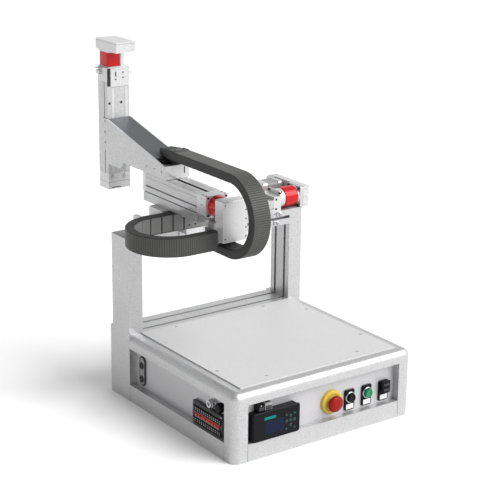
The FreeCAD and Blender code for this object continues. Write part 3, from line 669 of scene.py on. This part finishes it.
def make_z_details():
    """Screws, plates, limit tabs, a strip of painted shade beside the front plate and lines of painted
    shadow in the end cap's joint, on and beside the z module's front.
    """
    front = Z_MODULE_FRONT
    mesh = bmesh.new()
    for x in (127, 164):
        disc(mesh, (x, front, 510), -Y, 7, 0, 3, 0.8)
        cap_screw(mesh, (x, front - 3, 510), -Y, 3.6, 1.6)
    finish_piece("z_foot_screws", "y_slider", mesh, ["machined"])
    mesh = bmesh.new()
    plate(mesh, (122, front - 2.4, 752), (178, front + 0.4, 801), 1, 2, 0.5)
    for left in (124, 165):
        plate(mesh, (left, front - 0.8, 524), (left + 8, front + 0.2, 748), 1, 1, 0.3)
    finish_piece("z_front_plates", "y_slider", mesh, ["machined"])
    mesh = bmesh.new()
    for x in (118.5, 154):
        disc(mesh, (x, front, 709), -Y, 3.3, 0, 1.1, 0.3)
    for x, z in ((137, 771), (159, 774), (159, 788)):
        cap_screw(mesh, (x, front - 2.2, z), -Y, 2.1, 1.2)
    plate(mesh, (135.4, front - 3, 778), (138.6, front - 2, 791), 1, 1.5, 0.3)
    # This dark plate at the front plate's left edge is painted shade in the step beside it.
    plate(mesh, (113, front - 1, 754), (121, front + 0.2, 800.5), 1, 1, 0.3)
    finish_piece("z_front_screws", "y_slider", mesh, ["black_steel"])
    mesh = bmesh.new()
    box(mesh, (99, 768, 798), (113, 788, 800), 0.5)
    box(mesh, (106, 772, 782), (113, 787, 793), 0.8)
    box(mesh, (178, front, 783), (180, 760, 801), 0.5)
    box(mesh, (178, front, 783), (191, 756, 785), 0.5)
    finish_piece("z_limit_tabs", "y_slider", mesh, ["machined"])
    mesh = bmesh.new()
    # Thin dark plates of painted shadow in the end cap's joint.
    plate(mesh, (112.3, front - 0.2, 496.6), (178.7, 788.2, 497.4), 2, 0.6, 0.1)
    plate(mesh, (122, front - 0.6, 481), (150, front + 0.4, 483.6), 1, 1.2, 0.2)
    finish_piece("z_end_cap_joint_shade", "y_slider", mesh, ["seam_shade"])


def make_block_screws():
    """Screws in the end blocks of the x and y modules and in the x carriage."""
    mesh = bmesh.new()
    screws(mesh, grid((118, 173), (290, 304), Y_BLOCK_TOP), Z, 2.4, 1.4)
    for z in (524, 541, 557):
        for x, way in Y_MODULE_SIDES:
            cap_screw(mesh, (x, 304, z), way, 2.0, 0.8)
    screws(mesh, grid((121, 170), 570, (523, 559)), Y, 2.6, 1.6)
    finish_piece("y_block_screws", "x_slider", mesh, ["steel"])
    mesh = bmesh.new()
    screws(mesh, grid(449, 452, (441, 467)), -Y, 2.6, 1.4)
    for z in (440, 462):
        screws(mesh, grid(50, (459, 510), z), -X, 2.8, 1.6)
    finish_piece("x_block_screws", "cabinet", mesh, ["black_steel"])
    mesh = bmesh.new()
    screws(mesh, grid((104, 188), (461, 508), 490), Z, 3.0, 0.9)
    finish_piece("x_carriage_screws", "x_slider", mesh, ["steel"])


def make_y_profile_details():
    """Cover strips on the y profile's top and shadow lines along its sides."""
    mesh = bmesh.new()
    for low, high in ((128, 141), (150, 163)):
        plate(mesh, (low, 323.5, 563.6), (high, 557.5, 564.8), 2, 0.5, 0.3)
    finish_piece("y_cover_strips", "x_slider", mesh, ["along_y"])
    depth = 0.4
    (left, _), (right, _) = Y_MODULE_SIDES
    mesh = bmesh.new()
    for low, high, proud in ((514.4, 517.4, 0.15), (530.2, 531.4, 0.1), (554.4, 555.2, 0.1)):
        for x in (left - proud, right + proud - depth):
            box(mesh, (x, 324, low), (x + depth, 557, high), 0.05)
    finish_piece("y_profile_grooves", "x_slider", mesh, ["seam_shade"])


def make_beam_clamps():
    mesh = bmesh.new()
    for x, z in ((464.7, 422.7), (456.4, 399.3)):
        plate(mesh, (x - 9, 456.5, z - 6), (x + 9, 460.5, z + 6), 1, 3, 0.8)
        disc(mesh, (x + 2, 457, z), -Y, 5, 0, 3.4, 0.9)
        cap_screw(mesh, (x + 2, 454, z), -Y, 3.2, 1.8)
    finish_piece("beam_clamps", "cabinet", mesh, ["steel"])


def make_y_carriage_details():
    """A slot on the y carriage as a dark strip of painted shade, and the grommet with six cable stubs under
    the y chain's boot.
    """
    mesh = bmesh.new()
    # The slot is a dark strip: painted shade in the slot.
    box(mesh, (166.5, 461.4, 578), (169.5, 462.2, 595), 0.3)
    finish_piece("y_carriage_slot_shade", "y_slider", mesh, ["black_steel"])
    mesh = bmesh.new()
    box(mesh, (120, 477, 601), (171, 507, 609), 3, 0, segments=3)
    for x in range(126, 168, 8):
        disc(mesh, (x, 492, 608), Z, 3.2, 0, 3, 0.9)
    finish_piece("cable_grommet", "y_slider", mesh, ["black"])


# Cabinet

def make_cabinet():
    """Painted shade in the joints where the rails meet the columns, the posts' caps and the panels' screws.
    """
    half, proud, depth = 0.5, 0.12, 0.4
    low, high = 1, 45
    # Thin dark strips of painted shade in the joints of rails and columns.
    mesh = bmesh.new()
    for seam_shade in (40, 500):
        box(mesh, (seam_shade - half, -proud, low), (seam_shade + half, depth, high), 0.05)
    for seam_shade in (40, 460):
        for start, end in ((-proud, depth), (CABINET_WIDTH - depth, CABINET_WIDTH + proud)):
            box(mesh, (start, seam_shade - half, low), (end, seam_shade + half, high), 0.05)
    finish_piece("rail_joint_shade", "cabinet", mesh, ["seam_shade"])
    mesh = bmesh.new()
    for x in (0, 500):
        box(mesh, (x + 0.6, 460.6, 431), (x + 39.4, 539.4, 431.8), 0.3)
    finish_piece("post_caps", "cabinet", mesh, ["grey"])
    mesh = bmesh.new()
    screws(mesh, grid((60, 240, 430, 482), 18.2, 138), -Y, 2.2, 1.2)
    for y in (62, 240, 392):
        cap_screw(mesh, (PANEL_FACE, y, 138), -X, 2.2, 1.2)
        screws(mesh, grid(RIGHT_PANEL_FACE, y, (138, 51)), X, 2.2, 1.2)
    finish_piece("panel_screws", "cabinet", mesh, ["steel"])


def make_inlet():
    """A tall round-ended plate with two sockets of three pins."""
    y = 427.5
    mesh = bmesh.new()
    plate(mesh, (16.5, 413, 50), (20.5, 441, 130), 0, 13.9, 1.0, 0)
    plate(mesh, (15.8, 417, 54), (17, 437, 126), 0, 9.9, 0.4, 1)
    for z in (68.5, 104.5):
        foot = Vector((16.2, y, z))
        ring(mesh, foot, -X, 6.6, 9.4, 0, 2.4, 0.7, 0)
        disc(mesh, foot, -X, 6.8, 0, 0.8, 0.3, 3)
        for pin in range(3):
            angle = math.radians(90 + 120 * pin)
            place = foot + Vector((0, 3 * math.cos(angle), 3 * math.sin(angle)))
            disc(mesh, place, -X, 0.9, 0, 2, 0.2, 2, 12)
    screws(mesh, grid(16, y, (59, 86, 121)), -X, 1.9, 1.0, 2)
    finish_piece("inlet_sockets", "cabinet", mesh, ["dark_grey", "grey", "steel", "black"],
                 ("inlet_plate",))


def make_terminals():
    """The dark module on the left side, with rows of clamps and a red strip."""
    mesh = bmesh.new()
    box(mesh, (9, 60, 46), (PANEL_FACE, 186, 101), 1.5, 0, segments=3)
    for low in (49, 78):
        for number in range(14):
            y = 64 + number * 8.4
            box(mesh, (5.8, y, low), (10, y + 7, low + 13), 0.6, 1, segments=1)
            box(mesh, (5.4, y + 1.4, low + 7.6), (6.4, y + 5.6, low + 10), 0.3, 4, segments=1)
            cap_screw(mesh, (6, y + 3.5, low + 4), -X, 1.6, 0.5, 2)
    for number in range(9):
        y = number * 11.4
        box(mesh, (6.2, 72 + y, 66), (10, 80 + y, 71.5), 0.8, 3)
    box(mesh, (6.6, 70, 63.4), (10, 174, 65.2), 0.4, 4)
    box(mesh, (7.2, 70, 73), (10, 174, 75.4), 0.5, 3)
    screws(mesh, grid(9, (64, 182), 97), -X, 2, 1.2, 2)
    finish_piece("terminal_module", "cabinet", mesh, ["dark_grey", "black", "steel", "strip", "grey"],
                 ("side_terminals",))


def make_side_knob():
    """A knob with twelve grips on a steel ring, over the terminal module."""
    grips = 12
    foot = Vector((PANEL_FACE, 73, 119))
    mesh = bmesh.new()
    ring(mesh, foot, -X, 9, 15, 0, 3, 0.8, 1)
    lathe(mesh, foot, -X, [(0, 2), (11, 2), (12, 4), (11.4, 15), (9.8, 17), (0, 17.4)], 0, 36)
    for grip in range(grips):
        spin = Matrix.Translation(foot) @ Matrix.Rotation(math.radians(360 / grips * grip), 4, X)
        box(mesh, (-15, 10.8, -1), (-4, 12.6, 1), 0.5, 0, spin, 1)
    finish_piece("side_knob", "cabinet", mesh, ["black", "steel"])


def make_gland():
    """A cable gland with a hexagonal foot on a plate, beside the knob."""
    profile = [(0, 0), (13, 0), (13, 5), (11.4, 5.6), (11.4, 13), (10.6, 13.6), (9.4, 18), (5, 18),
               (5, 12), (0, 12)]
    mesh = bmesh.new()
    lathe(mesh, (PANEL_FACE, 108, 118), -X, profile, 0, 24, hexagonal=(1, 2))
    plate(mesh, (17, 84, 103), (PANEL_FACE, 122, 134), 0, 4, 0.6, 0)
    finish_piece("cable_glands", "cabinet", mesh, ["steel"])


def make_screen():
    """The screen unit's housing with its glass, and its keys: five in a cross and four round it."""
    mesh = bmesh.new()
    plate(mesh, (52, 0, 46.5), (187, PANEL_FACE, 116), 1, 5, 1.0, 0)
    plate(mesh, (51, -5, 45), (189, 1, 118), 1, 7, 2.2, 0)
    plate(mesh, (85, -5.6, 60), (141, -4.6, 92), 1, 1.5, 0.3, 1)
    plate(mesh, (83, -5.6, 97), (117, -4.6, 104), 1, 1, 0.3, 2)
    finish_piece("screen_housing", "cabinet", mesh, ["black", "glass", "teal"],
                 ("screen_unit",))
    mesh = bmesh.new()
    middle, spread = Vector((160, -5, 80)), 11.5
    quarters = [math.pi / 2 * k for k in range(4)]
    cross = [(0, 0)] + [(spread * math.cos(angle), spread * math.sin(angle)) for angle in quarters]
    around = [(-12, 16), (12, 16), (-12, -20), (12, -20)]
    for keys, radius in ((cross, 3.2), (around, 2.2)):
        for x, z in keys:
            foot = middle + Vector((x, 0, z))
            disc(mesh, foot, -Y, radius, 0, 1.3, 0.5, 0)
            ring(mesh, foot, -Y, radius, radius + 0.6, 0, 0.6, 0.15, 1, 24)
    finish_piece("screen_keys", "cabinet", mesh, ["dark_grey", "teal"])


def make_screen_plugs():
    """A black and a grey plug over the screen unit, with three leads' stubs each."""
    mesh = bmesh.new()
    for left, width, index in ((69, 20, 0), (91, 21, 1)):
        box(mesh, (left, 3, 117), (left + width, 17, 135), 1.6, index)
        box(mesh, (left + 3, 0.6, 120), (left + width - 3, 4, 129), 0.8, 2)
        for number in range(3):
            disc(mesh, (left + 5 + number * 5.5, 10, 134), Z, 1.9, 0, 4, 0.4, 2, 14)
        cap_screw(mesh, (left + width / 2, 3, 132), -Y, 1.6, 0.8, 3)
    finish_piece("screen_plugs", "cabinet", mesh, ["black", "grey", "dark_grey", "steel"])


CONTROL_Z = 84
BUTTON_X = (357, 411, 465)
STOP_STEPS, CAP_STEPS = 64, 48


def make_stop():
    """The emergency stop: a yellow collar and a red mushroom that flares in front of it."""
    centre = (301, PANEL_FACE, CONTROL_Z)
    collar = [(11.3, 0), (31, 0), (31, 4), (29.4, 6.6), (26, 8), (22, 8), (20, 6.6), (11.3, 6.6), (11.3, 0)]
    mushroom = [(0, -5), (10.6, -5), (10.6, 12.6), (14.5, 14), (18.6, 15.4), (20.4, 17), (21, 19.2),
                (20.4, 22), (18, 25), (13.5, 27), (7, 27.8), (0, 28)]
    mesh = bmesh.new()
    lathe(mesh, centre, -Y, collar, 0, STOP_STEPS)
    finish_piece("stop_collar_ring", "cabinet", mesh, ["yellow"], ("stop_collar",))
    mesh = bmesh.new()
    lathe(mesh, centre, -Y, mushroom, 0, STOP_STEPS)
    finish_piece("stop_mushroom", "stop_head", mesh, ["mushroom"], ("stop_button",))


def make_button_plates():
    mesh = bmesh.new()
    for x in BUTTON_X:
        plate(mesh, (x - 15, 15, 50), (x + 15, PANEL_FACE, 103), 1, 4, 0.8, 0)
        plate(mesh, (x - 11.5, 14.4, 53), (x + 11.5, 15.3, 66), 1, 1, 0.2, 1)
    for x in BUTTON_X[:2]:
        ring(mesh, (x, 15, CONTROL_Z), -Y, 11.6, 14.4, 0, 4, 0.9, 2)
    finish_piece("button_plates", "cabinet", mesh, ["black", "label", "steel"],
                 ("button_holders",))


def make_buttons():
    """Two round caps with dished faces, and the tall cap with two ribs."""
    black_x, green_x, tall_x = BUTTON_X
    cap = [(0, -6), (7.7, -6), (7.7, 9), (10.6, 9.4), (11, 10.4), (11, 13.6), (10.2, 15), (8.6, 15.2),
           (7.6, 14.6), (0, 14.2)]
    for x, colour in ((black_x, "black"), (green_x, "green")):
        mesh = bmesh.new()
        lathe(mesh, (x, PANEL_FACE, CONTROL_Z), -Y, cap, 0, CAP_STEPS)
        finish_piece(f"{colour}_button_cap", f"{colour}_cap", mesh, [colour],
                     (f"{colour}_button",))
    mesh = bmesh.new()
    box(mesh, (tall_x - 13, 4, 72), (tall_x + 13, 10.6, 104), 2.4, 0, segments=3)
    for low in (78, 92):
        box(mesh, (tall_x - 9, 2.6, low), (tall_x + 9, 4.6, low + 6), 0.8, 1)
    disc(mesh, (tall_x, 26, CONTROL_Z), -Y, 7.7, 0, 16, 0.4, 0)
    finish_piece("tall_button_cap", "tall_cap", mesh, ["black", "dark_grey"],
                 ("tall_button",))


make_studio()
make_camera()
paint_frame()
make_chain("x", "x_chain_loop", (44.6, 345, 465.5), 47, Y, -X, 164.4, 72.4, 2)
make_chain("y", "y_chain_loop", (153, 213, 533), 50, -Z, -Y, 80, 262, 0)
make_chain_ends()
make_chain_boot()
make_x_coupling()
make_y_coupling()
make_z_coupling()
make_drives()
make_motors()
make_gusset_screws()
make_z_details()
make_block_screws()
make_y_profile_details()
make_beam_clamps()
make_y_carriage_details()
make_cabinet()
make_inlet()
make_terminals()
make_side_knob()
make_gland()
make_screen()
make_screen_plugs()
make_stop()
make_button_plates()
make_buttons()
